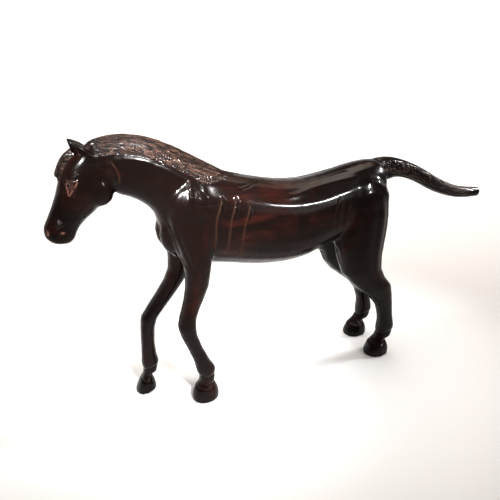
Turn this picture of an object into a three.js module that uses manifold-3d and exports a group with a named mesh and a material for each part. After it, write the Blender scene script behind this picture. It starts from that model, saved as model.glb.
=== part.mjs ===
// A walking horse carved in dark hardwood, 456 mm from nose to tail tip, standing on its four hooves.
//
// The maker glues it up from blocks, pins the joints with dowels, and carves the blocks as one form:
// a torso, one block for head and neck, four leg planks let into the torso's sides, a tail, two ears
// on pegs and two eye beads. So the carved form is built first, as one solid, and the glue joints
// then cut it into its pieces.
//
// Carving frame, in millimetres: X runs from nose to tail, Y towards the horse's right, Z up. Z = 0 is
// the ground, X = 0 lies midway between the front hooves, and Y = 0 is the middle plane.

import * as THREE from "three";
import { mergeVertices } from "three/addons/utils/BufferGeometryUtils.js";
import Module from "manifold-3d";

const FAR = 600; // past the object on every side
const SIDES = { left: -1, right: 1 }; // the sign of Y on each side
const GLUE_GAP = 0.3; // between the faces of a glued joint
const CORE = 10; // half thickness of the torso between two leg planks

// Where the glue joints cut the carved form, as X and Z in the side view.
const NECK_JOINT = { throat: [-7, 184], withers: [28, 229] };
const FRONT_PLANK = { rear: 38, top: 192, step: 134 };
const HIND_PLANK = { front: 166, top: 176, step: 131 };
const TAIL_JOINT = { front: 225, low: 181, behind: 250 }; // past behind, all of the form is tail

const DOWEL = { radius: 3, bevel: 0.6, sides: 12 };
const LEG_DOWEL = { inner: 4.5, outer: 21 }; // its two ends, from the middle plane
const FRONT_DOWELS = [[14, 180], [27, 160]];
const HIND_DOWELS = [[184, 164], [206, 148]];
const NECK_DOWELS = { lower: 14, upper: 38, reach: 12 }; // along the joint from the throat, and each way
const TAIL_DOWEL = { z: 201, reach: 12 };
const EYE = { x: -68.7, y: 8.9, z: 214.5, radius: 2.6 };
const EAR_PEG = { from: [-56, 6, 225], to: [-58.5, 8, 235], radius: 1.8 };

const wasm = await Module();
wasm.setup();

// ---------------------------------------------------------------- solids

// A closed three.js geometry as a solid that can be cut and joined.
function solid(geometry) {
  const bare = geometry.clone();
  bare.deleteAttribute("normal");
  bare.deleteAttribute("uv");
  const merged = mergeVertices(bare, 1e-4);
  return new wasm.Manifold(
    new wasm.Mesh({
      numProp: 3,
      vertProperties: new Float32Array(merged.attributes.position.array),
      triVerts: new Uint32Array(merged.index.array),
    }),
  );
}

// A solid as a three.js geometry again.
function geometryOf(shape) {
  const mesh = shape.getMesh();
  const geometry = new THREE.BufferGeometry();
  geometry.setAttribute("position", new THREE.BufferAttribute(mesh.vertProperties, 3));
  geometry.setIndex(new THREE.BufferAttribute(mesh.triVerts, 1));
  geometry.computeVertexNormals();
  return geometry;
}

const join = (shapes) => shapes.reduce((all, next) => all.add(next));

// A box between two opposite corners.
function box(low, high) {
  const size = high.map((value, i) => value - low[i]);
  const middle = high.map((value, i) => (value + low[i]) / 2);
  return solid(new THREE.BoxGeometry(...size).translate(...middle));
}

// A round rod with bevelled ends from one point to another, grown by a clearance all over.
function rod(from, to, { radius, bevel = 0, sides = 12 }, clearance = 0) {
  const start = new THREE.Vector3(...from);
  const axis = new THREE.Vector3(...to).sub(start);
  const low = -clearance;
  const high = axis.length() + clearance;
  const wide = radius + clearance;
  const side = bevel ? [[wide, low + bevel], [wide, high - bevel]] : [];
  const profile = [[0, low], [wide - bevel, low], ...side, [wide - bevel, high], [0, high]];
  const outline = profile.map(([r, h]) => new THREE.Vector2(r, h));
  const turn = new THREE.Quaternion().setFromUnitVectors(new THREE.Vector3(0, 1, 0), axis.normalize());
  return solid(new THREE.LatheGeometry(outline, sides).applyQuaternion(turn).translate(...from));
}

// A ball stretched along X, Y and Z, and leaned about Y by an angle in degrees.
function lobe([x, y, z], [rx, ry, rz], lean = 0, around = 14) {
  const ball = new THREE.SphereGeometry(1, around, around / 2).scale(rx, ry, rz);
  return solid(ball.rotateY(THREE.MathUtils.degToRad(lean)).translate(x, y, z));
}

// The same rows of numbers with more between them, along a Catmull-Rom curve through each column.
function smoothRows(rows, steps) {
  const column = (k) => new THREE.SplineCurve(rows.map((row, i) => new THREE.Vector2(i, row[k])));
  const columns = rows[0].map((_, k) => column(k));
  const count = (rows.length - 1) * steps;
  return Array.from({ length: count + 1 }, (_, i) => columns.map((curve) => curve.getPoint(i / count).y));
}

// A limb or trunk lofted through closed rings. Each row is one ring: its two edge points in the side
// view, X and Z and X and Z, then its half width and the Y of its middle. A fullness of 2 makes an
// ellipse, and a larger one is squarer.
function limb(rows, { steps = 3, around = 16, fullness = 2.2 } = {}) {
  const rings = smoothRows(rows, steps);
  const bulge = (v) => Math.sign(v) * Math.abs(v) ** (2 / fullness);
  const points = rings.flatMap(([ax, az, bx, bz, half, y]) =>
    Array.from({ length: around }, (_, i) => {
      const angle = (2 * Math.PI * i) / around;
      const toA = (1 + bulge(Math.cos(angle))) / 2;
      return new THREE.Vector3(bx + (ax - bx) * toA, y + half * bulge(Math.sin(angle)), bz + (az - bz) * toA);
    }),
  );
  const index = [];
  for (let r = 0; r < rings.length - 1; r++) {
    for (let i = 0; i < around; i++) {
      const a = r * around + i;
      const b = r * around + ((i + 1) % around);
      index.push(a, a + around, b, b, a + around, b + around);
    }
  }
  const last = (rings.length - 1) * around;
  for (let i = 1; i < around - 1; i++) {
    index.push(0, i, i + 1, last, last + i + 1, last + i);
  }
  const geometry = new THREE.BufferGeometry().setFromPoints(points);
  geometry.setIndex(index);
  const made = solid(geometry);
  if (made.volume() > 0) return made;
  geometry.setIndex(index.toReversed());
  return solid(geometry);
}

// ---------------------------------------------------------------- the carved form

const trunk = () =>
  limb(
    [
      [0, 188, 0, 154, 10, 0],
      [5, 199, 5, 145, 18, 0],
      [15, 211, 15, 138, 24, 0],
      [32, 217.5, 32, 135, 28, 0],
      [54, 213, 54, 131, 30.5, 0],
      [80, 207, 80, 126, 32, 0],
      [106, 202, 106, 123.6, 32, 0],
      [132, 200.5, 132, 126, 31, 0],
      [156, 203.5, 156, 134, 29.5, 0],
      [180, 209, 180, 137, 28, 0],
      [202, 212.5, 202, 137, 25, 0],
      [216, 211, 216, 146, 19, 0],
      [224, 201, 224, 160, 11, 0],
    ],
    { steps: 2, around: 24, fullness: 2.3 },
  );

const neck = () =>
  limb(
    [
      [66, 207, 22, 150, 21, 0],
      [46, 218, 6, 156, 24, 0],
      [27, 228.5, -3, 168, 22.5, 0],
      [9, 238, -7.5, 184, 19.5, 0],
      [-8, 244.5, -16, 193.5, 16.5, 0],
      [-23, 247.5, -26, 199.5, 14.5, 0],
      [-38, 247.5, -35, 203, 13, 0],
      [-50, 244.5, -42, 209, 11, 0],
      [-57, 240, -46, 220, 8, 0],
    ],
    { steps: 2, around: 20, fullness: 2.15 },
  );

const head = () =>
  limb(
    [
      [-55, 240, -44, 236, 8, 0],
      [-62, 237, -38, 228, 11.5, 0],
      [-70, 229, -36, 216, 13.5, 0],
      [-76, 218.5, -42, 203.5, 13.5, 0],
      [-80, 207, -51, 193.5, 11.8, 0],
      [-84.5, 196.5, -60.5, 186, 9.8, 0],
      [-89, 187.5, -67.5, 178.5, 8.6, 0],
      [-92, 181, -70.8, 171.6, 8.6, 0],
      [-91.5, 174, -74.5, 168.2, 7.6, 0],
      [-87, 169, -79, 167.8, 4, 0],
    ],
    { steps: 2, around: 18 },
  );

// The lock of mane that falls over the forehead and ends in a square cut.
const forelock = () =>
  limb(
    [
      [-58, 240, -56, 234, 4.4, 0],
      [-65, 238, -61, 231, 4.2, 0],
      [-71.5, 232.5, -66, 226, 4, 0],
      [-76, 225, -70, 220, 3.8, 0],
      [-77.8, 218.5, -72, 215.5, 3.5, 0],
    ],
    { steps: 2, around: 10, fullness: 2.6 },
  );

const mirrored = (make) => make(-1).add(make(1));

const cheeks = () => mirrored((side) => lobe([-52, side * 6.5, 209], [14.5, 8, 13.5], 35));
const breast = () => mirrored((side) => lobe([6, side * 8.5, 166], [12, 10, 18]));
const shoulders = () => mirrored((side) => lobe([20, side * 15, 188], [21, 14.5, 25], -15));
const haunches = () => mirrored((side) => lobe([193, side * 14, 173], [30.5, 16.5, 31], 10));

const tail = () =>
  limb(
    [
      [206, 212, 210, 186, 9, 0],
      [226, 214, 225, 189, 8.6, 0],
      [247, 210, 243, 192.5, 7.6, 0],
      [274, 199.5, 267, 186, 7.4, 0],
      [305, 184, 298, 171.5, 7, 0],
      [335, 173.5, 331, 162, 6.2, 0],
      [364, 170, 362.5, 160, 5.6, 0],
    ],
    { steps: 3, around: 12 },
  );

// A leg's rows run down from the body to the sole: the middle's X, Z, half the depth from front to
// back, the half width, the Y of the middle, and how far the back edge lies above the front one.
const leg = (rows) =>
  limb(
    rows.map(([x, z, depth, half, y, rise = 0]) => [x - depth, z - rise / 2, x + depth, z + rise / 2, half, y]),
    { steps: 1, around: 12 },
  );

const frontLeftLeg = () =>
  leg([
    [19, 195, 15, 9, -14],
    [18, 184, 18.5, 13, -15],
    [19.5, 168, 18.5, 14.3, -15.5],
    [22, 153, 15.5, 14, -16],
    [22.5, 141, 12.5, 12.5, -17],
    [22, 130, 11, 11, -17.5],
    [21, 119, 10, 9.6, -17.5],
    [17.5, 107, 8.6, 8.6, -17.5],
    [14.5, 99, 7.8, 8.2, -17.5],
    [11.5, 90, 7.6, 8, -17.5],
    [10.2, 81, 8, 8.3, -17.5],
    [11.8, 71, 7.2, 7.4, -17.5],
    [17, 56, 6.6, 6.6, -17],
    [22.5, 42, 7.2, 7, -17],
    [26, 32, 9, 7.9, -17],
    [27, 24, 7, 7.2, -17],
    [26.6, 17.5, 7.6, 8, -17],
    [25.8, 13, 10.4, 10, -17],
    [25, 6, 12.4, 11.3, -17],
    [24.6, 0, 12.4, 11.2, -17],
  ]);

const frontRightLeg = () =>
  leg([
    [19, 195, 15, 9, 14],
    [18, 184, 18.5, 13, 15],
    [19.5, 168, 18, 14.3, 15.5],
    [19.5, 152, 16, 14, 16],
    [17.3, 136, 12.2, 12.5, 17],
    [14.2, 124, 9.9, 10.5, 17],
    [9, 113, 9.4, 9.4, 17],
    [0.5, 101, 8.8, 8.6, 17],
    [-9, 89, 8.4, 8, 17],
    [-16.5, 79, 7.6, 7.8, 17],
    [-19, 68, 6.5, 7, 17],
    [-20, 52, 6.2, 6.3, 17],
    [-20, 39, 7, 6.7, 17],
    [-19.5, 31, 8, 7.4, 17],
    [-20, 23.5, 6.4, 6.6, 17, 1],
    [-21, 18, 7, 7.4, 17, 3],
    [-22.5, 13, 9.2, 9.6, 17, 5],
    [-24.2, 6.5, 10.4, 10.6, 17, 6],
    [-25, 1.4, 10.4, 10.2, 17, 5.5],
  ]);

// The two hind legs are alike, but the right one stands a little further back.
const hindLeg = (side, back) =>
  leg([
    [195, 190, 22, 10, side * 14],
    [194, 177, 27, 14.5, side * 15],
    [193, 161, 29, 15.8, side * 15.5],
    [191.7, 147, 30.2, 15.5, side * 16],
    [191.3, 132, 28.6, 14.5, side * 17],
    [192.6, 118, 25.6, 13.3, side * 18],
    [195.6 + back / 2, 104, 23.3, 12, side * 19],
    [203 + back / 2, 93, 21, 10.8, side * 20],
    [213 + back, 82.5, 19.7, 10, side * 21],
    [221 + back, 72, 13.8, 9, side * 21.5],
    [226.7 + back, 60, 9.4, 8, side * 22],
    [230 + back, 47, 8, 7.5, side * 22],
    [231.5 + back, 39, 8.6, 7.6, side * 22],
    [232 + back, 32, 9.6, 8, side * 22],
    [231 + back, 24, 8.4, 7.5, side * 22],
    [228.5 + back * 0.8, 17.5, 8.8, 8.2, side * 22],
    [225 + back * 0.8, 12.5, 11.4, 10.2, side * 22],
    [223.2 + back * 0.8, 5, 13.2, 11.5, side * 22],
    [222.8 + back * 0.8, 0, 13.2, 11.3, side * 22],
  ]);

const ear = (side) =>
  limb(
    [
      [-63, 229, -47, 229.5, 4.4, side * 8],
      [-64, 233.5, -49, 235.2, 4.2, side * 8.4],
      [-64.8, 237.5, -53.5, 240.6, 3.3, side * 8.8],
      [-65.8, 241.5, -59, 244.6, 2.1, side * 9],
      [-65.8, 244, -63.6, 245.8, 0.9, side * 9],
    ],
    { steps: 2, around: 12, fullness: 2 },
  );

function carvedForm() {
  const body = [trunk(), neck(), head(), forelock(), cheeks(), breast(), shoulders(), haunches(), tail()];
  const legs = [frontLeftLeg(), frontRightLeg(), hindLeg(-1, 0), hindLeg(1, 4)];
  return join([...body, ...legs]).intersect(box([-FAR, -FAR, 0], [FAR, FAR, FAR]));
}

// ---------------------------------------------------------------- the joints

const throatPoint = new THREE.Vector2(...NECK_JOINT.throat);
const neckAxis = new THREE.Vector2(...NECK_JOINT.withers).sub(throatPoint).normalize();

// Everything on the head's side of the neck joint.
function headSide(gap) {
  const [x, z] = NECK_JOINT.throat;
  const slab = new THREE.BoxGeometry(2 * FAR, 2 * FAR, FAR).translate(0, 0, FAR / 2 + gap);
  return solid(slab.rotateY(-neckAxis.angle()).translate(x, 0, z));
}

// One leg plank's room: outside the torso's core, and below the step the whole of its side.
function plankRoom(side, { rear = FAR, front = -FAR, top, step }, gap) {
  const slice = (inner, high) => {
    const [low, far] = side < 0 ? [-FAR, -inner] : [inner, FAR];
    return box([front + gap, low, -FAR], [rear - gap, far, high - gap]);
  };
  return slice(CORE + gap, top).add(slice(0, step));
}

// The tail's room: behind its joint with the rump, and everything past the hind legs.
function tailRoom(gap) {
  const { front, low, behind } = TAIL_JOINT;
  return box([front + gap, -FAR, low], [FAR, FAR, FAR]).add(box([behind, -FAR, -FAR], [FAR, FAR, FAR]));
}

// ---------------------------------------------------------------- dowels and pegs

const legDowel = (side, [x, z]) => [[x, side * LEG_DOWEL.inner, z], [x, side * LEG_DOWEL.outer, z]];

function neckDowel(along) {
  const middle = throatPoint.clone().addScaledVector(neckAxis, along);
  const out = new THREE.Vector2(-neckAxis.y, neckAxis.x).multiplyScalar(NECK_DOWELS.reach);
  return [[middle.x - out.x, 0, middle.y - out.y], [middle.x + out.x, 0, middle.y + out.y]];
}

const DOWELS = {
  neck_dowel_lower: neckDowel(NECK_DOWELS.lower),
  neck_dowel_upper: neckDowel(NECK_DOWELS.upper),
  tail_dowel: [-1, 1].map((way) => [TAIL_JOINT.front + way * TAIL_DOWEL.reach, 0, TAIL_DOWEL.z]),
};
for (const [name, side] of Object.entries(SIDES)) {
  for (const [i, place] of ["upper", "lower"].entries()) {
    DOWELS[`front_${name}_dowel_${place}`] = legDowel(side, FRONT_DOWELS[i]);
    DOWELS[`hind_${name}_dowel_${place}`] = legDowel(side, HIND_DOWELS[i]);
  }
}

const sided = (side, [x, y, z]) => [x, side * y, z];
const earPeg = (side, clearance) => rod(sided(side, EAR_PEG.from), sided(side, EAR_PEG.to), EAR_PEG, clearance);

function eyeBall(side, clearance) {
  const radius = EYE.radius + clearance;
  return lobe([EYE.x, side * EYE.y, EYE.z], [radius, radius, radius], 0, 12);
}

// ---------------------------------------------------------------- the pieces

// The carved form, cut into its wooden blocks by the glue joints and drilled for the dowels.
function blocks() {
  const form = carvedForm();
  const body = form.subtract(headSide(0));
  const rooms = {
    front_left_leg: (gap) => plankRoom(-1, FRONT_PLANK, gap),
    front_right_leg: (gap) => plankRoom(1, FRONT_PLANK, gap),
    hind_left_leg: (gap) => plankRoom(-1, HIND_PLANK, gap),
    hind_right_leg: (gap) => plankRoom(1, HIND_PLANK, gap),
    tail: tailRoom,
  };
  const made = { torso: body, head_neck: form.intersect(headSide(GLUE_GAP)) };
  for (const [name, room] of Object.entries(rooms)) {
    made[name] = body.intersect(room(GLUE_GAP));
    made.torso = made.torso.subtract(room(0));
  }
  const holes = join(Object.values(DOWELS).map(([from, to]) => rod(from, to, DOWEL, GLUE_GAP)));
  for (const name of Object.keys(made)) made[name] = made[name].subtract(holes);
  return made;
}

// Sets the ears on their pegs and the eye beads in their sockets.
function dressHead(made) {
  for (const [name, side] of Object.entries(SIDES)) {
    const skull = made.head_neck;
    const raisedSkull = solid(geometryOf(skull).translate(0, 0, GLUE_GAP));
    made[`${name}_ear`] = ear(side).subtract(raisedSkull).add(earPeg(side, 0));
    made[`${name}_eye`] = eyeBall(side, 0);
    made.head_neck = skull.subtract(earPeg(side, GLUE_GAP)).subtract(eyeBall(side, GLUE_GAP));
  }
}

const wood = () => new THREE.MeshStandardMaterial({ color: 0x2b1610, roughness: 0.28, metalness: 0 });
const bead = () => new THREE.MeshStandardMaterial({ color: 0x080606, roughness: 0.12, metalness: 0 });
const peg = () => new THREE.MeshStandardMaterial({ color: 0x8a5a36, roughness: 0.65, metalness: 0 });

const figure = new THREE.Group();

function addPiece(name, shape, material) {
  const mesh = new THREE.Mesh(geometryOf(shape), material);
  mesh.name = name;
  figure.add(mesh);
}

const made = blocks();
dressHead(made);
for (const [name, shape] of Object.entries(made)) {
  addPiece(name, shape, name.endsWith("_eye") ? bead() : wood());
}
for (const [name, [from, to]] of Object.entries(DOWELS)) {
  addPiece(name, rod(from, to, DOWEL), peg());
}

// The part's own origin is on the ground, under the middle of the figure.
const middle = new THREE.Box3().setFromObject(figure).getCenter(new THREE.Vector3());
figure.position.set(-middle.x, -middle.y, 0);

export default new THREE.Group().add(figure);
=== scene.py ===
"""The finished surface of a carved hardwood horse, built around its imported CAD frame.

Shapes are worked out in the carving frame, in millimetres: X runs from nose to tail, Y towards the
horse's right, Z up, and X = 0 lies midway between the front hooves. The frame's CAD blocks are joined
into one smooth form, the details are carved into it by moving its vertices, and the glue joints cut
it into the same pieces as the CAD. Each piece then goes to the row frame, in metres.
"""

import math

import bmesh
import bpy
import numpy as np
from mathutils import Matrix, Vector
from mathutils.bvhtree import BVHTree
from mathutils.kdtree import KDTree


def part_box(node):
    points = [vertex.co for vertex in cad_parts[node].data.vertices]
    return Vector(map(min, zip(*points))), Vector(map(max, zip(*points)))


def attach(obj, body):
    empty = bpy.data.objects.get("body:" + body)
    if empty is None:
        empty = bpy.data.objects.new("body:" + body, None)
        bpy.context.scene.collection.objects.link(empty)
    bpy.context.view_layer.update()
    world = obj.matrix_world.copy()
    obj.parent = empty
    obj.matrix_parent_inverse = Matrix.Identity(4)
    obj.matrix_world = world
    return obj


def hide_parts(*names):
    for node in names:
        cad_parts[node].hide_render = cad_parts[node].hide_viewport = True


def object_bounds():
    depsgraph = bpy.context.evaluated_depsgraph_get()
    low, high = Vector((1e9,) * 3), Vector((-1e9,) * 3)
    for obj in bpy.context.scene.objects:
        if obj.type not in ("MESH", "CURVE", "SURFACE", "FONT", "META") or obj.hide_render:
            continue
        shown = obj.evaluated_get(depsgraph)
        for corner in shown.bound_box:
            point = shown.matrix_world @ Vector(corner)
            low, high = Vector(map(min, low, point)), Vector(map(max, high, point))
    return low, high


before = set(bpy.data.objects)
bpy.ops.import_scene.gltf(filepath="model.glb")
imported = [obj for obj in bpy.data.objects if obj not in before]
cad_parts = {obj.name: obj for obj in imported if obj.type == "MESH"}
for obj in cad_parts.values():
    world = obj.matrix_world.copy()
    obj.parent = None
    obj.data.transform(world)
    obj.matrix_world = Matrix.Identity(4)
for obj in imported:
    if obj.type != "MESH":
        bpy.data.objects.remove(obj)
cad_low, cad_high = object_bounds()

MM = 0.001
FAR = 600.0  # beyond every part of the horse
NOSE = -92.22  # the nose's X in the carving frame
TO_ROW = Matrix.Translation((cad_low.x - NOSE * MM, 0, 0)) @ Matrix.Scale(MM, 4)
TO_CARVING = TO_ROW.inverted()
LEFT, RIGHT = -1, 1
SIDES = {"left": LEFT, "right": RIGHT}

# The glue joints, as X and Z in the side view.
NECK_JOINT = {"throat": (-7, 184), "withers": (28, 229)}
CORE = 10  # half thickness of the torso between two leg planks
FRONT_PLANK = {"low_x": -FAR, "high_x": 38, "top": 192, "step": 134}
HIND_PLANK = {"low_x": 166, "high_x": FAR, "top": 176, "step": 131}
TAIL_JOINT = {"front": 225, "low": 181, "behind": 250}
SEAM = 0.03  # hairline between two glued blocks
DRILL = 0.3  # a hole is this much wider than its dowel all round

BLOCKS = [
    "torso", "head_neck", "front_left_leg", "front_right_leg", "hind_left_leg", "hind_right_leg", "tail",
]
DOWELS = sorted(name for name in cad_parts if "dowel" in name)

# The blocks are swollen until they touch, joined, smoothed and shrunk again.
SWELL = 0.4
SHRINK = 0.15
SOLE = 0.3  # what starts below this height is the soles, and stays flat
VOXEL = 1.45
SMOOTH_PASSES = 150

# Carved lines. Those on a side are X and Z, seen from that side; those on top are X and Y.
MANE_CREST = [
    (-57, 241), (-50, 246), (-43, 247), (-32, 248), (-21, 247), (-6, 244),
    (9, 238), (26, 229), (42, 221), (56, 215), (70, 210),
]
MANE_EDGE = [
    (-50, 234), (-40, 235), (-27, 234.8), (-14, 232.5), (-8, 229.6), (0, 226.5),
    (7, 222.7), (12, 219.7), (19, 215.7), (30, 209), (41, 209), (54, 211),
]
TAIL_CREST = [(212, 211), (226, 213), (247, 210), (274, 199.5), (305, 184), (335, 173.5), (362, 170)]
TAIL_EDGE = [
    (215, 203), (225, 200), (242, 197), (258, 191), (271, 186),
    (285, 181), (311, 172), (326, 167), (350, 163),
]
FORELOCK = [(-62, 239.5), (-68, 236), (-73, 230), (-76, 223), (-77.5, 219)]

RIBS = [
    [(43.6, 200.4), (40.5, 190), (37, 179.5), (36, 162), (35, 145.5)],
    [(55.8, 199), (52.5, 188), (49, 176.7), (47.5, 162), (46, 146.4)],
    [(68, 194), (64.5, 183), (61, 172.8), (59, 156), (57, 139)],
]
RIB_BRANCHES = [
    [(43.6, 199), (43.5, 190), (42.6, 182)],
    [(55.8, 198), (55.4, 188), (54, 179)],
    [(68, 193), (67, 183), (64.5, 174)],
]
FLANK_CUTS = [
    [(157.4, 188), (152, 172), (149, 153.5)],
    [(162.5, 186), (157.7, 170), (155.6, 152)],
    [(170, 183), (165, 168), (163.7, 153)],
]

MANE_STROKES, TAIL_STROKES, FORELOCK_STROKES = 620, 95, 30  # on each side
STROKE_POINTS = 7
FORELOCK_HALF_WIDTH = 3.8

EYE_RIM = [
    [(-72, 213.8), (-71, 216.4), (-68.8, 217.8), (-63.6, 217)],
    [(-72, 214.4), (-71.7, 212), (-71, 209.5)],
    [(-71.6, 210.8), (-70.9, 207), (-67.6, 211.6)],
    [(-63.6, 217), (-65.6, 214.2), (-67, 212.2)],
]
# A hoof's wall rounds in above its base, and the rounding fades out above the dome's top.
DOME_BASE, DOME_HEIGHT, DOME_FADE = 3.5, 14, 4
DOME_TOP = DOME_BASE + DOME_HEIGHT
DOME_PULL = 0.62  # share of its reach squared that the wall has lost at the top
PASTERN_TOP = 45  # the carving of a hoof stays below this height
CORONET = {"height": 15.5, "slope": 0.12, "depth": 0.5, "half_width": 0.8}
CORONET_DIP = {"depth": 1.6, "width": 4}
FETLOCK_CREASE = {"above_coronet": 11, "depth": 0.5, "width": 1.3}

EAR = {"base": (-51.5, 8.4, 229), "tip": (-66.4, 9.4, 245.6), "opening": (-0.6, 0.75, -0.35)}
EYE_ROOM = 0.15  # the socket is this much wider than the eye bead all round


# ---------------------------------------------------------------- meshes

def array_of(items, name, width):
    values = np.zeros(len(items) * width)
    items.foreach_get(name, values)
    return values.reshape(-1, width)


def set_points(mesh, points):
    mesh.vertices.foreach_set("co", points.astype(np.float32).ravel())
    mesh.update()


def object_of(name, mesh):
    made = bpy.data.objects.new(name, mesh)
    bpy.context.scene.collection.objects.link(made)
    return made


def mesh_of(bm):
    mesh = bpy.data.meshes.new("work")
    bm.to_mesh(mesh)
    bm.free()
    return mesh


def modified(mesh, kind, **settings):
    """The mesh after one modifier."""
    worker = object_of("worker", mesh)
    modifier = worker.modifiers.new(kind, kind)
    for name, value in settings.items():
        setattr(modifier, name, value)
    bpy.context.view_layer.update()
    made = bpy.data.meshes.new_from_object(worker.evaluated_get(bpy.context.evaluated_depsgraph_get()))
    bpy.data.objects.remove(worker)
    return made


def combined(mesh, cutter, operation):
    """Two closed meshes joined or cut."""
    other = object_of("cutter", cutter)
    made = modified(mesh, "BOOLEAN", operation=operation, solver="MANIFOLD", object=other)
    bpy.data.objects.remove(other)
    return made


def cad_solid(node, swell):
    """A CAD node's closed mesh in the carving frame, swollen along its normals."""
    bm = bmesh.new()
    bm.from_mesh(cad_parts[node].data)
    bmesh.ops.remove_doubles(bm, verts=bm.verts, dist=0.01 * MM)
    bm.transform(TO_CARVING)
    bm.normal_update()
    for vertex in bm.verts:
        vertex.co += vertex.normal * swell
    return mesh_of(bm)


def gathered(meshes):
    bm = bmesh.new()
    for mesh in meshes:
        bm.from_mesh(mesh)
    return mesh_of(bm)


def largest_shell(mesh):
    """The mesh without its smaller loose shells, such as a sealed space inside."""
    bm = bmesh.new()
    bm.from_mesh(mesh)
    seen, shells = set(), []
    for first in bm.verts:
        if first in seen:
            continue
        shell, waiting = {first}, [first]
        while waiting:
            for edge in waiting.pop().link_edges:
                for vertex in edge.verts:
                    if vertex not in shell:
                        shell.add(vertex)
                        waiting.append(vertex)
        seen |= shell
        shells.append(shell)
    largest = max(shells, key=len)
    bmesh.ops.delete(bm, geom=[v for v in bm.verts if v not in largest], context="VERTS")
    return mesh_of(bm)


def smooth_step(value, low, high):
    share = np.clip((value - low) / (high - low), 0, 1)
    return share * share * (3 - 2 * share)


def relax(mesh, passes, weight):
    """Taubin smoothing: each pass smooths by one step and swells by a slightly longer one."""
    points = array_of(mesh.vertices, "co", 3)
    edges = array_of(mesh.edges, "vertices", 2).astype(int)
    start, end = np.concatenate([edges, edges[:, ::-1]]).T
    count = len(points)
    degree = np.bincount(start, minlength=count)
    for _ in range(passes):
        for step in (0.5, -0.53):
            sums = [np.bincount(start, points[end, k], count) for k in range(3)]
            mean = np.stack(sums, 1) / degree[:, None]
            points += step * weight[:, None] * (mean - points)
    set_points(mesh, points)


def carved_form():
    """The CAD blocks as one smooth closed surface."""
    parts = [cad_solid(node, SWELL) for node in BLOCKS + DOWELS + ["left_eye", "right_eye"]]
    mesh = modified(gathered(parts), "REMESH", mode="VOXEL", voxel_size=VOXEL)
    mesh = largest_shell(mesh)
    points = array_of(mesh.vertices, "co", 3)
    x, _, z = points.T
    # The hooves, the tail's tip and the muzzle are smoothed less, so that they keep their shape.
    weight = 1 - 0.3 * smooth_step(-z, -18, -8) - 0.7 * smooth_step(x, 352, 359)
    weight -= 0.6 * smooth_step(-x, 62, 78)
    sole = z < SOLE
    relax(mesh, SMOOTH_PASSES, weight)
    points = array_of(mesh.vertices, "co", 3) - SHRINK * array_of(mesh.vertex_normals, "vector", 3)
    points[sole, 2] = 0
    points[:, 2] = np.maximum(points[:, 2], 0)
    set_points(mesh, points)
    return refined(modified(mesh, "SUBSURF", levels=1))


def refined(mesh):
    """Halves the faces where the carving is finest: the mane, the face and the tail's hair."""
    bm = bmesh.new()
    bm.from_mesh(mesh)
    mane = curve_through(MANE_EDGE)
    tail = curve_through(TAIL_EDGE)

    def fine(point):
        x, _, z = point
        if x < -44:
            return True
        if x < 60:
            return z > np.interp(x, mane[:, 0], mane[:, 1]) - 4
        return 212 < x < 352 and z > np.interp(x, tail[:, 0], tail[:, 1]) - 2

    faces = [face for face in bm.faces if fine(face.calc_center_median())]
    edges = {edge for face in faces for edge in face.edges}
    bmesh.ops.subdivide_edges(bm, edges=list(edges), cuts=1, use_grid_fill=True)
    return mesh_of(bm)


# ---------------------------------------------------------------- carving

def curve_through(points, spacing=1.2):
    """Points about one spacing apart on a Catmull-Rom curve."""
    p = np.array(points, float)
    p = np.vstack([2 * p[0] - p[1], p, 2 * p[-1] - p[-2]])
    made = []
    for a, b, c, d in zip(p, p[1:], p[2:], p[3:]):
        count = max(1, math.ceil(np.linalg.norm(c - b) / spacing))
        squared, cubed = 2 * a - 5 * b + 4 * c - d, 3 * b - a - 3 * c + d
        for t in np.arange(count) / count:
            made.append(0.5 * (2 * b + (c - a) * t + squared * t**2 + cubed * t**3))
    return np.array(made + [p[-2]])


def ends_faded(along, fade):
    """1 along a line, and down to 0 over the given share of its length at each end."""
    return smooth_step(along, 0, fade) * smooth_step(1 - along, 0, fade) if fade else np.ones_like(along)


class Line:
    """A line on the surface: its points, the surface's normals there, and the side it is on."""

    def __init__(self, points, normals, side):
        self.points, self.normals, self.side = np.array(points), np.array(normals), side


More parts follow.
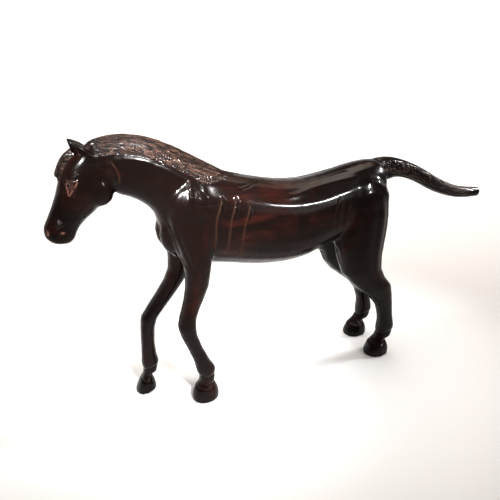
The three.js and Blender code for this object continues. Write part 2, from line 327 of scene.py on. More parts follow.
class Carving:
    """A surface that is carved by moving its vertices along their normals."""

    def __init__(self, mesh):
        self.mesh = mesh
        self.points = array_of(mesh.vertices, "co", 3)
        self.normals = array_of(mesh.vertex_normals, "vector", 3)
        self.raised = np.zeros(len(self.points))
        self.cut = np.zeros(len(self.points))
        self.masks = {name: np.zeros(len(self.points)) for name in ("textured", "bare", "pale")}
        bm = bmesh.new()
        bm.from_mesh(mesh)
        self.tree = BVHTree.FromBMesh(bm)
        bm.free()

    def cast(self, starts, direction, side):
        hits = [self.tree.ray_cast(Vector(start), Vector(direction)) for start in starts]
        hits = [hit for hit in hits if hit[0] is not None]
        return Line([hit[0] for hit in hits], [hit[1] for hit in hits], side)

    def on_side(self, points, side):
        curve = curve_through(points)
        return self.cast([(x, side * FAR, z) for x, z in curve], (0, -side, 0), side)

    def on_top(self, points, side):
        curve = curve_through(points)
        return self.cast([(x, -side * y, FAR) for x, y in curve], (0, 0, -1), side)

    def nearest(self, points, side):
        hits = [self.tree.find_nearest(Vector(point)) for point in points]
        return Line([hit[0] for hit in hits], [hit[1] for hit in hits], side)

    def near(self, line, reach):
        """The vertices near a line: index, distance, height above it on its side, and share of its length."""
        low, high = line.points.min(0) - reach, line.points.max(0) + reach
        picked = np.flatnonzero(((self.points > low) & (self.points < high)).all(1))
        p, count = self.points[picked], len(picked)
        best, place, above = np.full(count, np.inf), np.zeros(count), np.zeros(count)
        spans = np.linalg.norm(np.diff(line.points, axis=0), axis=1)
        total, passed = spans.sum(), 0.0
        for a, b, normal, span in zip(line.points, line.points[1:], line.normals, spans):
            if span < 1e-6:
                continue
            along = np.clip((p - a) @ (b - a) / span**2, 0, 1)
            offset = p - a - along[:, None] * (b - a)
            distance = np.linalg.norm(offset, axis=1)
            distance[self.normals[picked] @ normal < 0] = np.inf
            closer = distance < best
            best[closer] = distance[closer]
            place[closer] = (passed + along[closer] * span) / total
            above[closer] = -line.side * np.sign(offset[closer] @ np.cross(normal, b - a))
            passed += span
        close = best < reach
        return picked[close], best[close], above[close] * best[close], place[close]

    def close_to(self, line, reach):
        """The vertices near a line, and how near from 0 to 1."""
        picked, distance, _, place = self.near(line, reach)
        return picked, smooth_step(1 - distance / reach, 0, 0.3) * ends_faded(place, 0.05)

    def groove(self, line, width, depth, fade=0.2, lip=0.0, **masks):
        """A V cut, with its wood pushed up in a lip along both edges."""
        picked, distance, _, place = self.near(line, 2.5 * width)
        strength = ends_faded(place, fade)
        profile = np.clip(1 - distance / width, 0, 1) ** 0.8
        self.cut[picked] = np.maximum(self.cut[picked], depth * profile * strength)
        self.raised[picked] += lip * strength * np.exp(-(((distance - 1.35 * width) / (0.4 * width)) ** 2))
        self.paint(picked, np.exp(-((distance / width) ** 2)) * strength, masks)

    def ridge(self, line, width, height, fade=0.25, **masks):
        picked, distance, _, place = self.near(line, 2.5 * width)
        strength = ends_faded(place, fade)
        self.raised[picked] += height * strength * np.exp(-((distance / width) ** 2))
        self.paint(picked, np.exp(-((distance / width) ** 2)) * strength, masks)

    def terrace(self, line, height, slope, edge, fade=0.15):
        """A raised field above the line that falls away over `slope`, with a steep edge below it."""
        picked, distance, above, place = self.near(line, 3 * max(slope, edge))
        profile = np.where(above > 0, np.exp(-((above / slope) ** 2)), np.exp(-((above / edge) ** 2)))
        self.raised[picked] += height * profile * ends_faded(place, fade)

    def dent(self, centre, radii, depth, side, **masks):
        """A rounded hollow, or a boss where the depth is negative, at X and Z on a side."""
        line = self.cast([(centre[0], side * FAR, centre[1])], (0, -side, 0), side)
        offset = (self.points - line.points[0]) / np.array([radii[0], max(radii), radii[1]])
        share = np.exp(-((offset**2).sum(1)))
        picked = np.flatnonzero((share > 0.02) & (self.normals @ line.normals[0] > 0))
        self.raised[picked] -= depth * share[picked]
        self.paint(picked, share[picked], masks)

    def field(self, line, reach, mask, fade=0.08):
        """Paints everything within reach above the line."""
        picked, _, above, place = self.near(line, reach)
        self.paint(picked, smooth_step(above, -0.6, 0.8) * ends_faded(place, fade), {mask: 1.0})

    def paint(self, picked, share, masks):
        for name, amount in masks.items():
            self.masks[name][picked] = np.maximum(self.masks[name][picked], np.clip(amount * share, 0, 1))

    def finished(self):
        # The groove mask is the cut's depth; the wood's colour darkens by it, as painted shade in the cuts.
        self.masks["groove"] = np.clip(self.cut / 0.5, 0, 1)
        moved = self.points + self.normals * (self.raised - self.cut)[:, None]
        moved[:, 2] = np.maximum(moved[:, 2], 0)
        set_points(self.mesh, moved)
        return self.mesh


def hair(carving, rng, crest, edge, side, count, flow):
    """Strokes between two curves of points, which start at even steps along them.

    flow(u, rng) gives a stroke's start across, length along, drift across, depth and width.
    """
    def at(curve, u):
        where = np.clip(u, 0, 1) * (len(curve) - 1)
        return np.array([np.interp(where, range(len(curve)), curve[:, k]) for k in range(3)])

    for k in range(count):
        u = (k + rng.random()) / count
        v, length, drift, depth, width = flow(u, rng)
        path = []
        for share in np.linspace(0, 1, STROKE_POINTS):
            across = np.clip(v + drift * share**1.4, 0, 1)
            along = u + length * share
            path.append((1 - across) * at(crest, along) + across * at(edge, along))
        carving.groove(carving.nearest(path, side), width, depth, fade=0.35, lip=0.25 * depth)


def in_plane(points, y):
    curve = curve_through(points)
    return np.stack([curve[:, 0], np.full(len(curve), y), curve[:, 1]], 1)


def drawn(rng, *ranges):
    """One random number from each range, in order."""
    return [rng.uniform(low, high) for low, high in ranges]


def mane_flow(u, rng):
    """Long strokes that follow the crest, and short ones that fan out near the mane's lower edge."""
    v = rng.random() ** 0.9
    if v < 0.6:
        return v, *drawn(rng, (0.08, 0.2), (0.02, 0.14), (0.3, 0.5), (0.45, 0.65))
    drift = rng.uniform(0.1, 0.3) if rng.random() < 0.7 else -rng.uniform(0.1, 0.2)
    length, depth, width = drawn(rng, (0.03, 0.06), (0.35, 0.55), (0.45, 0.65))
    return v, length, drift, depth, width


def tail_flow(u, rng):
    """Steep, deep strokes at the tail's root, and long shallow ones towards its tip."""
    if u > 0.62:
        return *drawn(rng, (0.1, 0.8), (0.08, 0.2), (0.05, 0.2), (0.2, 0.35)), 0.7
    return *drawn(rng, (0.15, 0.4), (0.035, 0.06), (0.4, 0.6), (0.5, 0.7)), 0.75


def forelock_flow(u, rng):
    return *drawn(rng, (0, 1), (0.15, 0.35), (-0.1, 0.1), (0.25, 0.4)), 0.6


def carve_mane(carving, rng):
    for side in SIDES.values():
        edge = carving.on_side(MANE_EDGE, side)
        carving.field(edge, 26, "textured")
        under = [(x, z - 4.5) for x, z in MANE_EDGE[1:10]]
        carving.ridge(carving.on_side(under, side), 4, 1.5, fade=0.15)
        hair(carving, rng, in_plane(MANE_CREST, 0), edge.points, side, MANE_STROKES, mane_flow)


def carve_forelock(carving, rng):
    for side in SIDES.values():
        middle = carving.nearest(in_plane(FORELOCK, side * 2), side)
        edges = [in_plane(FORELOCK, side * y) for y in (0, FORELOCK_HALF_WIDTH)]
        carving.ridge(middle, 3, 1.1, fade=0.04)
        carving.groove(carving.nearest(edges[1], side), 0.9, 0.6, fade=0.08)
        picked, share = carving.close_to(middle, 5)
        carving.paint(picked, share, {"textured": 1.0})
        hair(carving, rng, *edges, side, FORELOCK_STROKES, forelock_flow)


def carve_tail(carving, rng):
    for side in SIDES.values():
        edge = carving.on_side(TAIL_EDGE, side)
        carving.field(edge, 12, "textured")
        carving.terrace(edge, 0.5, 3, 0.7)
        carving.groove(carving.on_side([(x, z - 1.2) for x, z in TAIL_EDGE], side), 1.3, 0.7)
        hair(carving, rng, in_plane(TAIL_CREST, 0), edge.points, side, TAIL_STROKES, tail_flow)
        for x in (236, 241, 246, 252, 258, 263):
            low = np.interp(x, *np.array(TAIL_EDGE).T)
            carving.groove(carving.on_side([(x, low - 0.5), (x + 1.5, low - 3.5)], side), 0.8, 0.45, fade=0)


def carve_ribs(carving):
    for side in SIDES.values():
        for rib in RIBS:
            carving.groove(carving.on_side(rib, side), 0.9, 0.8, fade=0.12, lip=0.45, pale=0.13)
        for branch in RIB_BRANCHES:
            carving.groove(carving.on_side(branch, side), 1.1, 0.9, fade=0.25, lip=0.8)
        for cut in FLANK_CUTS:
            carving.groove(carving.on_side(cut, side), 0.8, 0.8, fade=0.2, lip=0.5, pale=0.13)


def carve_back(carving):
    for side in SIDES.values():
        spine = [(82, 6.5), (95, 8.6), (114, 9.6), (135, 9), (156, 9), (172, 10.6), (178, 12)]
        carving.groove(carving.on_top(spine, side), 1.5, 1.0, fade=0.08)
        carving.ridge(carving.on_top([(x, y + 3) for x, y in spine], side), 2.2, 0.5)
        sash = [(58, 21.5), (70, 17), (84, 6.5)]
        carving.groove(carving.on_top(sash, side), 1.1, 0.7, fade=0.1)
        carving.groove(carving.on_top([(x + 3, y + 1.5) for x, y in sash], side), 0.9, 0.5, fade=0.1)
        shelf = [(92, 192), (106, 190.6), (123, 193), (140, 196), (162, 199), (180, 201), (193, 202)]
        carving.ridge(carving.on_side(shelf, side), 3, 0.7)


def carve_shoulders(carving):
    for side in SIDES.values():
        front = [(12.5, 189), (14.4, 195), (15.8, 201), (16.4, 207), (15, 213)]
        carving.ridge(carving.on_side(front, side), 3.4, 1.3, fade=0.2)
        carving.groove(carving.on_side([(19, 193), (19.8, 200), (20.6, 207)], side), 1.6, 0.6)
        carving.groove(carving.on_side([(13, 195), (25, 193), (38, 192)], side), 0.8, 0.2)
        carving.groove(carving.on_side([(2, 189), (14, 188.4), (27, 188)], side), 0.8, 0.3)
        carving.groove(carving.on_side([(24.5, 187), (24, 173), (23, 160)], side), 1.1, 0.4)
        breast = [(-1.7, 182), (1, 172), (4, 160), (8.4, 147), (12, 134)]
        carving.ridge(carving.on_side(breast, side), 1.8, 0.9)
        carving.groove(carving.on_side([(x + 4.2, z) for x, z in breast], side), 1.5, 0.6)


def carve_thighs(carving):
    for side in SIDES.values():
        fold = [(158, 152), (161, 140), (166.6, 121), (172, 104)]
        carving.groove(carving.on_side(fold, side), 2.2, 0.7)
        inner = [(169, 141), (171.4, 126), (176, 112), (185, 96)]
        carving.ridge(carving.on_side(inner, side), 2.4, 0.7)


def carve_head(carving):
    for side in SIDES.values():
        jaw = [(-39.5, 232), (-37, 227), (-35, 222), (-34, 216), (-35, 211)]
        carving.groove(carving.on_side(jaw, side), 0.5, 0.6, pale=0.22)
        carving.ridge(carving.on_side([(x - 2.6, z) for x, z in jaw], side), 2.2, 0.8)
        brow = [(-71.5, 216.8), (-69.4, 218.8), (-66.2, 220.4), (-62, 222)]
        carving.ridge(carving.on_side(brow, side), 1.4, 2.2)
        carving.groove(carving.on_side([(x, z - 2.4) for x, z in brow], side), 0.8, 0.5)
        for rim in EYE_RIM:
            carving.groove(carving.on_side(rim, side), 0.45, 0.25, fade=0.1, bare=0.34)
        carving.dent((-69, 213), (2.8, 3.6), 0.1, side, bare=0.1)
        carving.dent((-74, 214.5), (1.8, 2.6), 0.8, side)
        carving.dent((-62, 215), (2.2, 3.2), 0.6, side)
        cheek = [(-72, 186), (-66.5, 193.7), (-61.8, 198), (-57, 201.6)]
        carving.groove(carving.on_side(cheek, side), 1.6, 0.25)
        mouth = [(-85, 170), (-83, 173.5), (-80.6, 176.6), (-79, 178)]
        carving.groove(carving.on_side(mouth, side), 0.6, 1.1, fade=0.1, pale=0.2)
        carving.dent((-79.2, 178.2), (1.4, 0.8), 0.5, side, bare=0.6)
        carving.dent((-89.8, 178.5), (0.9, 1.8), 1.0, side, bare=0.75)
        nostril_fold = [(-84, 180.6), (-80.5, 181.6), (-77.5, 183.4), (-75.8, 186.6)]
        carving.groove(carving.on_side(nostril_fold, side), 1.2, 0.6)
        carving.dent((-80, 185.2), (3.4, 2.6), -1.9, side)


def dome(carving, inside):
    """Rounds a hoof's wall in above the sole. The sole's own outline, by angle, is its full reach."""
    x, y, z = carving.points[inside].T
    sole = z < DOME_BASE
    middle = np.array([x[sole].mean(), y[sole].mean()])
    across = np.stack([x, y], 1) - middle
    angle = np.arctan2(across[:, 1], across[:, 0])
    reach = np.linalg.norm(across, axis=1)
    turns = np.linspace(-np.pi, np.pi, 25)
    radii = np.array([reach[sole & (np.cos(angle - turn) > 0.97)].max() for turn in turns])
    share = reach / np.interp(angle, turns, radii)
    rise = np.clip((z - DOME_BASE) / DOME_HEIGHT, 0, 1)
    limit = np.sqrt(1 - DOME_PULL * rise**2)
    scale = np.where(share > limit, limit / np.maximum(share, 0.01), 1)
    scale = 1 - (1 - scale) * (1 - smooth_step(z, DOME_TOP, DOME_TOP + DOME_FADE))
    carving.points[inside, :2] = middle + across * scale[:, None]


def carve_hoof(carving, leg, side):
    """Cuts the coronet's groove, which dips at its middle, and the fetlock's crease above it."""
    x, y, z = carving.points.T
    low, high = [(TO_CARVING @ corner).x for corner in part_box(leg)]
    inside = (x > low - 2) & (x < high + 2) & (y * side > 0) & (z < PASTERN_TOP)
    middle = x[inside & (z < 8)].mean()
    dip = CORONET_DIP["depth"] * np.exp(-(((x - middle) / CORONET_DIP["width"]) ** 2))
    height = z - CORONET["height"] - CORONET["slope"] * (x - middle) + dip
    groove = CORONET["depth"] * np.clip(1 - np.abs(height) / CORONET["half_width"], 0, 1)
    from_crease = (height - FETLOCK_CREASE["above_coronet"]) / FETLOCK_CREASE["width"]
    crease = FETLOCK_CREASE["depth"] * np.exp(-(from_crease**2))
    carving.cut = np.maximum(carving.cut, np.where(inside, groove + crease, 0))
    carving.paint(inside, np.exp(-((height[inside] / 0.9) ** 2)), {"pale": 0.15})
    dome(carving, inside & (z < DOME_TOP + DOME_FADE))


def carve_hooves(carving):
    for name, side in SIDES.items():
        for end in ("front", "hind"):
            carve_hoof(carving, f"{end}_{name}_leg", side)


def carve(mesh):
    carving = Carving(mesh)
    rng = np.random.default_rng(7)
    carve_mane(carving, rng)
    carve_forelock(carving, rng)
    carve_tail(carving, rng)
    carve_ribs(carving)
    carve_back(carving)
    carve_shoulders(carving)
    carve_thighs(carving)
    carve_head(carving)
    carve_hooves(carving)
    return carving.finished(), carving


# ---------------------------------------------------------------- the pieces

def prism(outline, axis, low, high):
    """A closed prism. The outline's two numbers are the other two axes, in order."""
    bm = bmesh.new()

    def at(a, b, c):
        values = [a, b]
        values.insert(axis, c)
        return bm.verts.new(values)

    rings = [[at(a, b, c) for a, b in outline] for c in (low, high)]
    bm.faces.new(rings[0])
    bm.faces.new(rings[1][::-1])
    for i in range(len(outline)):
        j = (i + 1) % len(outline)
        bm.faces.new((rings[0][j], rings[0][i], rings[1][i], rings[1][j]))
    bmesh.ops.recalc_face_normals(bm, faces=bm.faces)
    return mesh_of(bm)


def head_room(gap):
    """All that lies on the head's side of the neck joint, less the gap."""
    throat, withers = np.array(NECK_JOINT["throat"], float), np.array(NECK_JOINT["withers"], float)
    along = (withers - throat) / np.linalg.norm(withers - throat)
    out = np.array([-along[1], along[0]])
    low, high = throat - FAR * along + gap * out, throat + FAR * along + gap * out
    return prism([low, high, high + FAR * out, low + FAR * out], 1, -FAR, FAR)


def plank_room(side, plank, gap):
    """A leg plank's space: beside the torso's core, and below the step the whole of its side."""
    inner, step, top = CORE + gap, plank["step"], plank["top"] - gap
    outline = [(0, -FAR), (0, step), (inner, step), (inner, top), (FAR, top), (FAR, -FAR)]
    return prism([(side * y, z) for y, z in outline], 0, plank["low_x"] + gap, plank["high_x"] - gap)


def tail_room(gap):
    """The tail's space: behind its joint, and lower down behind the haunches."""
    front, low, behind = TAIL_JOINT["front"] + gap, TAIL_JOINT["low"], TAIL_JOINT["behind"]
    outline = [(front, FAR), (front, low), (behind, low), (behind, -FAR), (FAR, -FAR), (FAR, FAR)]
    return prism(outline, 1, -FAR, FAR)


def split(form):
    """The carved form's blocks, by CAD node name."""
    body = combined(form, head_room(0), "DIFFERENCE")
    rooms = {
        "front_left_leg": lambda gap: plank_room(LEFT, FRONT_PLANK, gap),
        "front_right_leg": lambda gap: plank_room(RIGHT, FRONT_PLANK, gap),
        "hind_left_leg": lambda gap: plank_room(LEFT, HIND_PLANK, gap),
        "hind_right_leg": lambda gap: plank_room(RIGHT, HIND_PLANK, gap),
        "tail": tail_room,
    }
    made = {"head_neck": combined(form, head_room(SEAM), "INTERSECT"), "torso": body}
    for name, room in rooms.items():
        made[name] = combined(body, room(SEAM), "INTERSECT")
        made["torso"] = combined(made["torso"], room(0), "DIFFERENCE")
    holes = gathered([cad_solid(name, DRILL) for name in DOWELS])
    return {name: combined(mesh, holes.copy(), "DIFFERENCE") for name, mesh in made.items()}


def loft(rings):
    """A closed mesh through rings with the same number of points."""
    bm = bmesh.new()
    rows = [[bm.verts.new(point) for point in ring] for ring in rings]
    for lower, upper in zip(rows, rows[1:]):
        for i in range(len(lower)):
            j = (i + 1) % len(lower)
            bm.faces.new((lower[i], lower[j], upper[j], upper[i]))
    bm.faces.new(rows[0][::-1])
    bm.faces.new(rows[-1])
    bmesh.ops.recalc_face_normals(bm, faces=bm.faces)
    return mesh_of(bm)


def leaf(side, half_width, half_depth, shift, start):
    """A leaf-shaped solid along an ear, from the start's share of its length to just short of its tip.

    shift moves it towards the ear's opening. Where it starts above the ear's base, its lower end is round.
    """
    base, tip, out = [Vector((x, side * y, z)) for x, y, z in EAR.values()]
    along = (tip - base).normalized()
    out = (out - along * out.dot(along)).normalized()
    across = along.cross(out)
    steps, around, end = 26, 30, 0.985
    rings = []
    for i in range(steps + 1):
        s = start + (end - start) * i / steps
        swell = math.sin(math.pi * (0.28 + 0.72 * s)) ** 0.8
        if start > 0:
            swell *= min(1, ((s - start) / 0.18 + 0.02)) ** 0.5
        centre = base + (tip - base) * s + out * shift * swell
        ring = []
        for k in range(around):
            angle = 2 * math.pi * k / around
            sideways = across * half_width * swell * math.cos(angle)
            outward = out * half_depth * swell * math.sin(angle)
            ring.append(centre + sideways + outward)
        rings.append(ring)
    return loft(rings)


def ear(side, head):
    """A leaf with a hollow in its opening, cut off a hairline above the head."""
    shell = leaf(side, half_width=6.4, half_depth=4.0, shift=0, start=0)
    hollow = leaf(side, half_width=5.2, half_depth=4.0, shift=2.0, start=0.2)
    shell = combined(shell, hollow, "DIFFERENCE")
    bm = bmesh.new()
    bm.from_mesh(head)
    bmesh.ops.translate(bm, verts=bm.verts, vec=(0, 0, SEAM))
    return combined(shell, mesh_of(bm), "DIFFERENCE")


def eye_bead(side, swell=0.0):
    """A bead in the eye's CAD box, less tall towards the back of the head."""
    bm = bmesh.new()
    bmesh.ops.create_uvsphere(bm, u_segments=32, v_segments=20, radius=1)
    low, high = [TO_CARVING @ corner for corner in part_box("left_eye" if side == LEFT else "right_eye")]
    middle, radius = (low + high) / 2, (high.x - low.x) / 2 + swell
    for vertex in bm.verts:
        x, y, z = vertex.co
        vertex.co = middle + Vector((x * radius * 1.02, y * radius, z * radius * (0.92 - 0.08 * x)))
    return mesh_of(bm)


# ---------------------------------------------------------------- materials

def feed(tree, socket, value):
    """Links a node's socket to another node's output, or sets its value."""
    if isinstance(value, bpy.types.NodeSocket):
        tree.links.new(value, socket)
    else:
        socket.default_value = value


def mixed(tree, share, first, second):
    """A colour mixed from two by the share of the second."""
    made = tree.nodes.new("ShaderNodeMix")
    made.data_type = "RGBA"
    for index, value in ((0, share), (6, first), (7, second)):
        feed(tree, made.inputs[index], value)
    return made.outputs[2]


class Shader:
    """A Principled material that is built node by node."""

    def __init__(self, name, **values):
        self.material = bpy.data.materials.new(name)
        self.material.use_nodes = True
        self.tree = self.material.node_tree
        self.surface = self.tree.nodes["Principled BSDF"]
        for socket, value in values.items():
            self.surface.inputs[socket.replace("_", " ")].default_value = value

    def node(self, kind, inputs=None, **settings):
        made = self.tree.nodes.new(kind)
        for name, value in settings.items():
            setattr(made, name, value)
        for name, value in (inputs or {}).items():
            feed(self.tree, made.inputs[name], value)
        return made

    def place(self, scale, turn=0.0):
        """The piece's own coordinates, turned about Y and then stretched."""
        coordinates = self.node("ShaderNodeTexCoord").outputs["Object"]
        turned = self.node("ShaderNodeMapping", {"Vector": coordinates, "Rotation": (0, turn, 0)}).outputs[0]
        return self.node("ShaderNodeMapping", {"Vector": turned, "Scale": scale}).outputs[0]

    def noise(self, place, scale, detail=4.0, roughness=0.55, distortion=0.0):
        values = {"Vector": place, "Scale": scale, "Detail": detail, "Roughness": roughness}
        return self.node("ShaderNodeTexNoise", {**values, "Distortion": distortion}).outputs["Fac"]

    def range(self, value, low, high, to_low=0.0, to_high=1.0):
        values = {"Value": value, "From Min": low, "From Max": high, "To Min": to_low, "To Max": to_high}
        return self.node("ShaderNodeMapRange", values).outputs[0]

    def mix(self, share, first, second):
        return mixed(self.tree, share, first, second)

    def math(self, operation, first, second):
        return self.node("ShaderNodeMath", {0: first, 1: second}, operation=operation).outputs[0]

    def attribute(self, name):
        return self.node("ShaderNodeAttribute", attribute_name=name).outputs["Fac"]

    def bump(self, height, strength, distance, normal=None):
        values = {"Height": height, "Strength": strength, "Distance": distance}
        if normal is not None:
            values["Normal"] = normal
        return self.node("ShaderNodeBump", values).outputs[0]

    def set(self, socket, value):
        self.tree.links.new(value, self.surface.inputs[socket])


def colour(red, green, blue):
    return (red, green, blue, 1.0)


def hardwood(name, stretch):
    """Near-black stained hardwood, polished, with reddish streaks along its grain.

    The carving's masks show where it is textured as hair, bare or pale; the groove mask darkens the colour in
    the cuts by their depth, as painted shade.
    """
    made = Shader(name, Coat_Weight=0.24, Coat_Roughness=0.09, IOR=1.45, Specular_IOR_Level=0.12)
    grain = made.place(stretch)
    plain = made.place((1, 1, 1))
    streaks = made.noise(grain, 90, detail=6, roughness=0.6, distortion=0.6)
    patches = made.noise(plain, 22, detail=3, roughness=0.5, distortion=0.8)
    fine = made.noise(grain, 700, detail=3, roughness=0.6)
    red = made.math("MULTIPLY", made.range(streaks, 0.42, 0.68), made.range(patches, 0.45, 0.62))
    base = made.mix(red, colour(0.0055, 0.003, 0.0026), colour(0.021, 0.006, 0.0042))
    base = made.mix(made.range(fine, 0.5, 0.75, 0, 0.5), base, colour(0.004, 0.0022, 0.002))
    textured, groove = made.attribute("textured"), made.attribute("groove")
    bare, pale = made.attribute("bare"), made.attribute("pale")
    strands = made.noise(made.place((0.14, 1, 1), turn=-0.35), 900, detail=4, roughness=0.6)
    worn = made.range(strands, 0.46, 0.59)
    worn = made.mix(worn, colour(0.004, 0.0026, 0.0024), colour(0.075, 0.042, 0.031))
    base = made.mix(textured, base, worn)
    # Painted shade: the colour darkens towards near-black where a groove cuts deep.
    base = made.mix(made.math("MULTIPLY", groove, 0.8), base, colour(0.005, 0.0025, 0.002))
    base = made.mix(pale, base, colour(0.12, 0.055, 0.035))
    flecks = made.range(made.noise(plain, 650, detail=3), 0.3, 0.6, 0.45, 1)
    base = made.mix(made.math("MULTIPLY", bare, flecks), base, colour(0.42, 0.21, 0.165))
    made.set("Base Color", base)
    gloss = made.range(made.noise(plain, 60, detail=3), 0.3, 0.7, 0.2, 0.3)
    gloss = made.math("ADD", gloss, made.math("MULTIPLY", textured, 0.16))
    gloss = made.math("ADD", gloss, made.math("MULTIPLY", bare, 0.2))
    made.set("Roughness", gloss)
    pores = made.bump(fine, 0.12, 0.0002)
    cut_hair = made.bump(strands, textured, 0.0008, pores)
    made.set("Normal", made.bump(patches, 0.15, 0.0012, cut_hair))
    return made.material


def dowel_wood():
    made = Shader("dowel_beech", Specular_IOR_Level=0.3)
    grain = made.noise(made.place((1, 1, 0.2)), 400, detail=5)
    made.set("Base Color", made.mix(grain, colour(0.30, 0.15, 0.07), colour(0.18, 0.08, 0.035)))
    made.set("Roughness", made.range(grain, 0.3, 0.7, 0.55, 0.75))
    made.set("Normal", made.bump(grain, 0.2, 0.0002))
    return made.material


def eye_black():
    made = Shader("eye_bead_black", Coat_Weight=0.8, Coat_Roughness=0.03)
    mottle = made.noise(made.place((1, 1, 1)), 900, detail=2)
    made.set("Base Color", made.mix(mottle, colour(0.003, 0.003, 0.003), colour(0.012, 0.008, 0.006)))
    made.set("Roughness", made.range(mottle, 0.3, 0.7, 0.08, 0.16))
    return made.material


# ---------------------------------------------------------------- assembly

def finish_piece(name, mesh, material, node, normals=None):
    """Readies a piece. The normals, one for each vertex, hold wherever they agree with the face."""
    mesh.transform(TO_ROW)
    mesh.materials.clear()
    mesh.materials.append(material)
    mesh.shade_smooth()
    mesh.set_sharp_from_angle(angle=math.radians(55))
    if normals is not None:
        counts = array_of(mesh.polygons, "loop_total", 1).astype(int).ravel()
        own = np.repeat(array_of(mesh.polygons, "normal", 3), counts, axis=0)
        corners = normals[array_of(mesh.loops, "vertex_index", 1).astype(int).ravel()]
        agrees = (corners * own).sum(1) > 0.6
        mesh.normals_split_custom_set(np.where(agrees[:, None], corners, own).tolist())
    piece = object_of(name, mesh)
    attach(piece, "root")
    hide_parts(node)
    return piece


def copy_masks(mesh, carving, tree, normals):
    """Gives each vertex the masks of the nearest carved vertex, and returns that vertex's normal."""
    nearest = np.array([tree.find(vertex.co)[1] for vertex in mesh.vertices])
    for name, values in carving.masks.items():
        attribute = mesh.attributes.get(name) or mesh.attributes.new(name, "FLOAT", "POINT")
        attribute.data.foreach_set("value", values[nearest].astype(np.float32))
    return normals[nearest]


def build_horse():
    form, carving = carve(carved_form())
    points = array_of(form.vertices, "co", 3)
    normals = array_of(form.vertex_normals, "vector", 3)
    tree = KDTree(len(points))
    for i, point in enumerate(points):
        tree.insert(point, i)
    tree.balance()
    blocks = split(form)
    for side in SIDES.values():
        blocks["head_neck"] = combined(blocks["head_neck"], eye_bead(side, EYE_ROOM), "DIFFERENCE")
    body_wood = hardwood("dark_hardwood_body", (0.16, 1, 1))
    leg_wood = hardwood("dark_hardwood_legs", (1, 1, 0.16))
    for name, side in SIDES.items():
        shell = ear(side, blocks["head_neck"])
        finish_piece(f"{name}_ear_wood", shell, leg_wood, f"{name}_ear")
        finish_piece(f"{name}_eye_glass", eye_bead(side), eye_black(), f"{name}_eye")
    for name, mesh in blocks.items():
        surface = copy_masks(mesh, carving, tree, normals)
        material = leg_wood if "leg" in name else body_wood
        finish_piece(f"{name}_wood", mesh, material, name, surface)
    beech = dowel_wood()
    for name in DOWELS:
        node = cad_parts[name]
        node.data.materials.clear()
        node.data.materials.append(beech)


# ---------------------------------------------------------------- the studio

def studio_floor():
    mesh = bpy.data.meshes.new("studio_floor")
    left, right, front, behind = -4.0, 4.0, -4.0, 2.6
    corners = [(left, front, 0), (right, front, 0), (right, behind, 0), (left, behind, 0)]
    mesh.from_pydata(corners, [], [(0, 1, 2, 3)])
    paper = Shader("studio_paper", Roughness=0.9, Specular_IOR_Level=0.1)
    tone = paper.noise(paper.place((1, 1, 1)), 3, detail=2)
    paper.set("Base Color", paper.mix(tone, colour(0.80, 0.80, 0.80), colour(0.83, 0.83, 0.83)))
    mesh.materials.append(paper.material)
    floor = object_of("studio_floor", mesh)


def softbox(name, target, direction, distance, size, power, tint=(1, 1, 1), spread=180):
    light = bpy.data.lights.new(name, "AREA")
    light.shape, light.size, light.size_y = "RECTANGLE", size[0], size[1]
    light.energy, light.color, light.spread = power, tint, math.radians(spread)
    lamp = object_of(name, light)
    away = Vector(direction).normalized()
    lamp.location = target + away * distance
    lamp.rotation_mode = "QUATERNION"
    lamp.rotation_quaternion = away.to_track_quat("Z", "Y")
    lamp.visible_camera = False


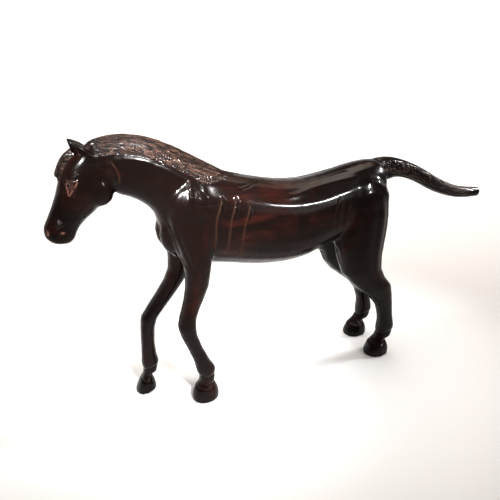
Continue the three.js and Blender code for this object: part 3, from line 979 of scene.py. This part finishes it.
def sky():
    """Pale behind the horse, dim in front of it and warm overhead, so that dark gloss stays dark."""
    world = bpy.data.worlds.new("studio")
    world.use_nodes = True
    tree = world.node_tree
    place = tree.nodes.new("ShaderNodeTexCoord")
    parts = tree.nodes.new("ShaderNodeSeparateXYZ")
    tree.links.new(place.outputs["Generated"], parts.inputs[0])

    def blend(value, low, high, first, second):
        share = tree.nodes.new("ShaderNodeMapRange")
        share.interpolation_type = "SMOOTHSTEP"
        for name, number in (("Value", value), ("From Min", low), ("From Max", high)):
            feed(tree, share.inputs[name], number)
        return mixed(tree, share.outputs[0], first, second)

    around = blend(parts.outputs["Y"], 0.0, 0.5, colour(0.16, 0.15, 0.15), colour(1.05, 1.05, 1.05))
    upward = blend(parts.outputs["Z"], 0.25, 0.6, around, colour(0.10, 0.07, 0.05))
    tree.links.new(upward, tree.nodes["Background"].inputs["Color"])
    bpy.context.scene.world = world


def studio(target):
    """Soft light on the floor, and small narrow lights that each leave a highlight on the polish."""
    shoulder, neck = Vector((-0.12, -0.02, 0.2)), Vector((-0.1, -0.02, 0.16))
    softbox("floor_light", Vector((1.2, 1.75, 0)), (0, 0, 1), 1.3, (7, 3.6), 118, (1, 0.97, 0.94), spread=90)
    softbox("back_tan", target, (0.45, 0.3, 0.85), 1.0, (0.4, 0.4), 0.7, (1, 0.62, 0.4))
    softbox("key_front", neck, (0.08, -0.72, 0.69), 0.95, (0.06, 0.1), 0.5, spread=24)
    softbox("key_left", shoulder, (-0.57, -0.6, 0.56), 0.95, (0.08, 0.1), 0.32, spread=12)
    softbox("key_right", target, (0.87, -0.1, 0.45), 0.9, (0.07, 0.07), 0.4, spread=40)
    softbox("front_right", target, (0.5, -0.75, 0.42), 0.9, (0.06, 0.06), 0.18, spread=40)
    sky()
    bpy.context.scene.view_settings.view_transform = "Standard"
    bpy.context.scene.view_settings.gamma = 0.84


def camera(target):
    azimuth, elevation = math.radians(-23.77), math.radians(21.25)
    distance = 0.4219
    data = bpy.data.cameras.new("camera")
    data.lens = 32.4
    made = object_of("camera", data)
    back = Vector((math.sin(azimuth) * math.cos(elevation), -math.cos(azimuth) * math.cos(elevation),
                   math.sin(elevation)))
    made.location = target + back * distance
    made.rotation_mode = "QUATERNION"
    made.rotation_quaternion = back.to_track_quat("Z", "Y")
    data.clip_start, data.clip_end = 0.01, 20
    bpy.context.scene.camera = made


size = cad_high - cad_low
aim = Vector((cad_low.x + 0.3757 * size.x, 0, cad_low.z + 0.552 * size.z))
camera(aim)
build_horse()
studio_floor()
studio(Vector((0, 0, cad_high.z / 2)))
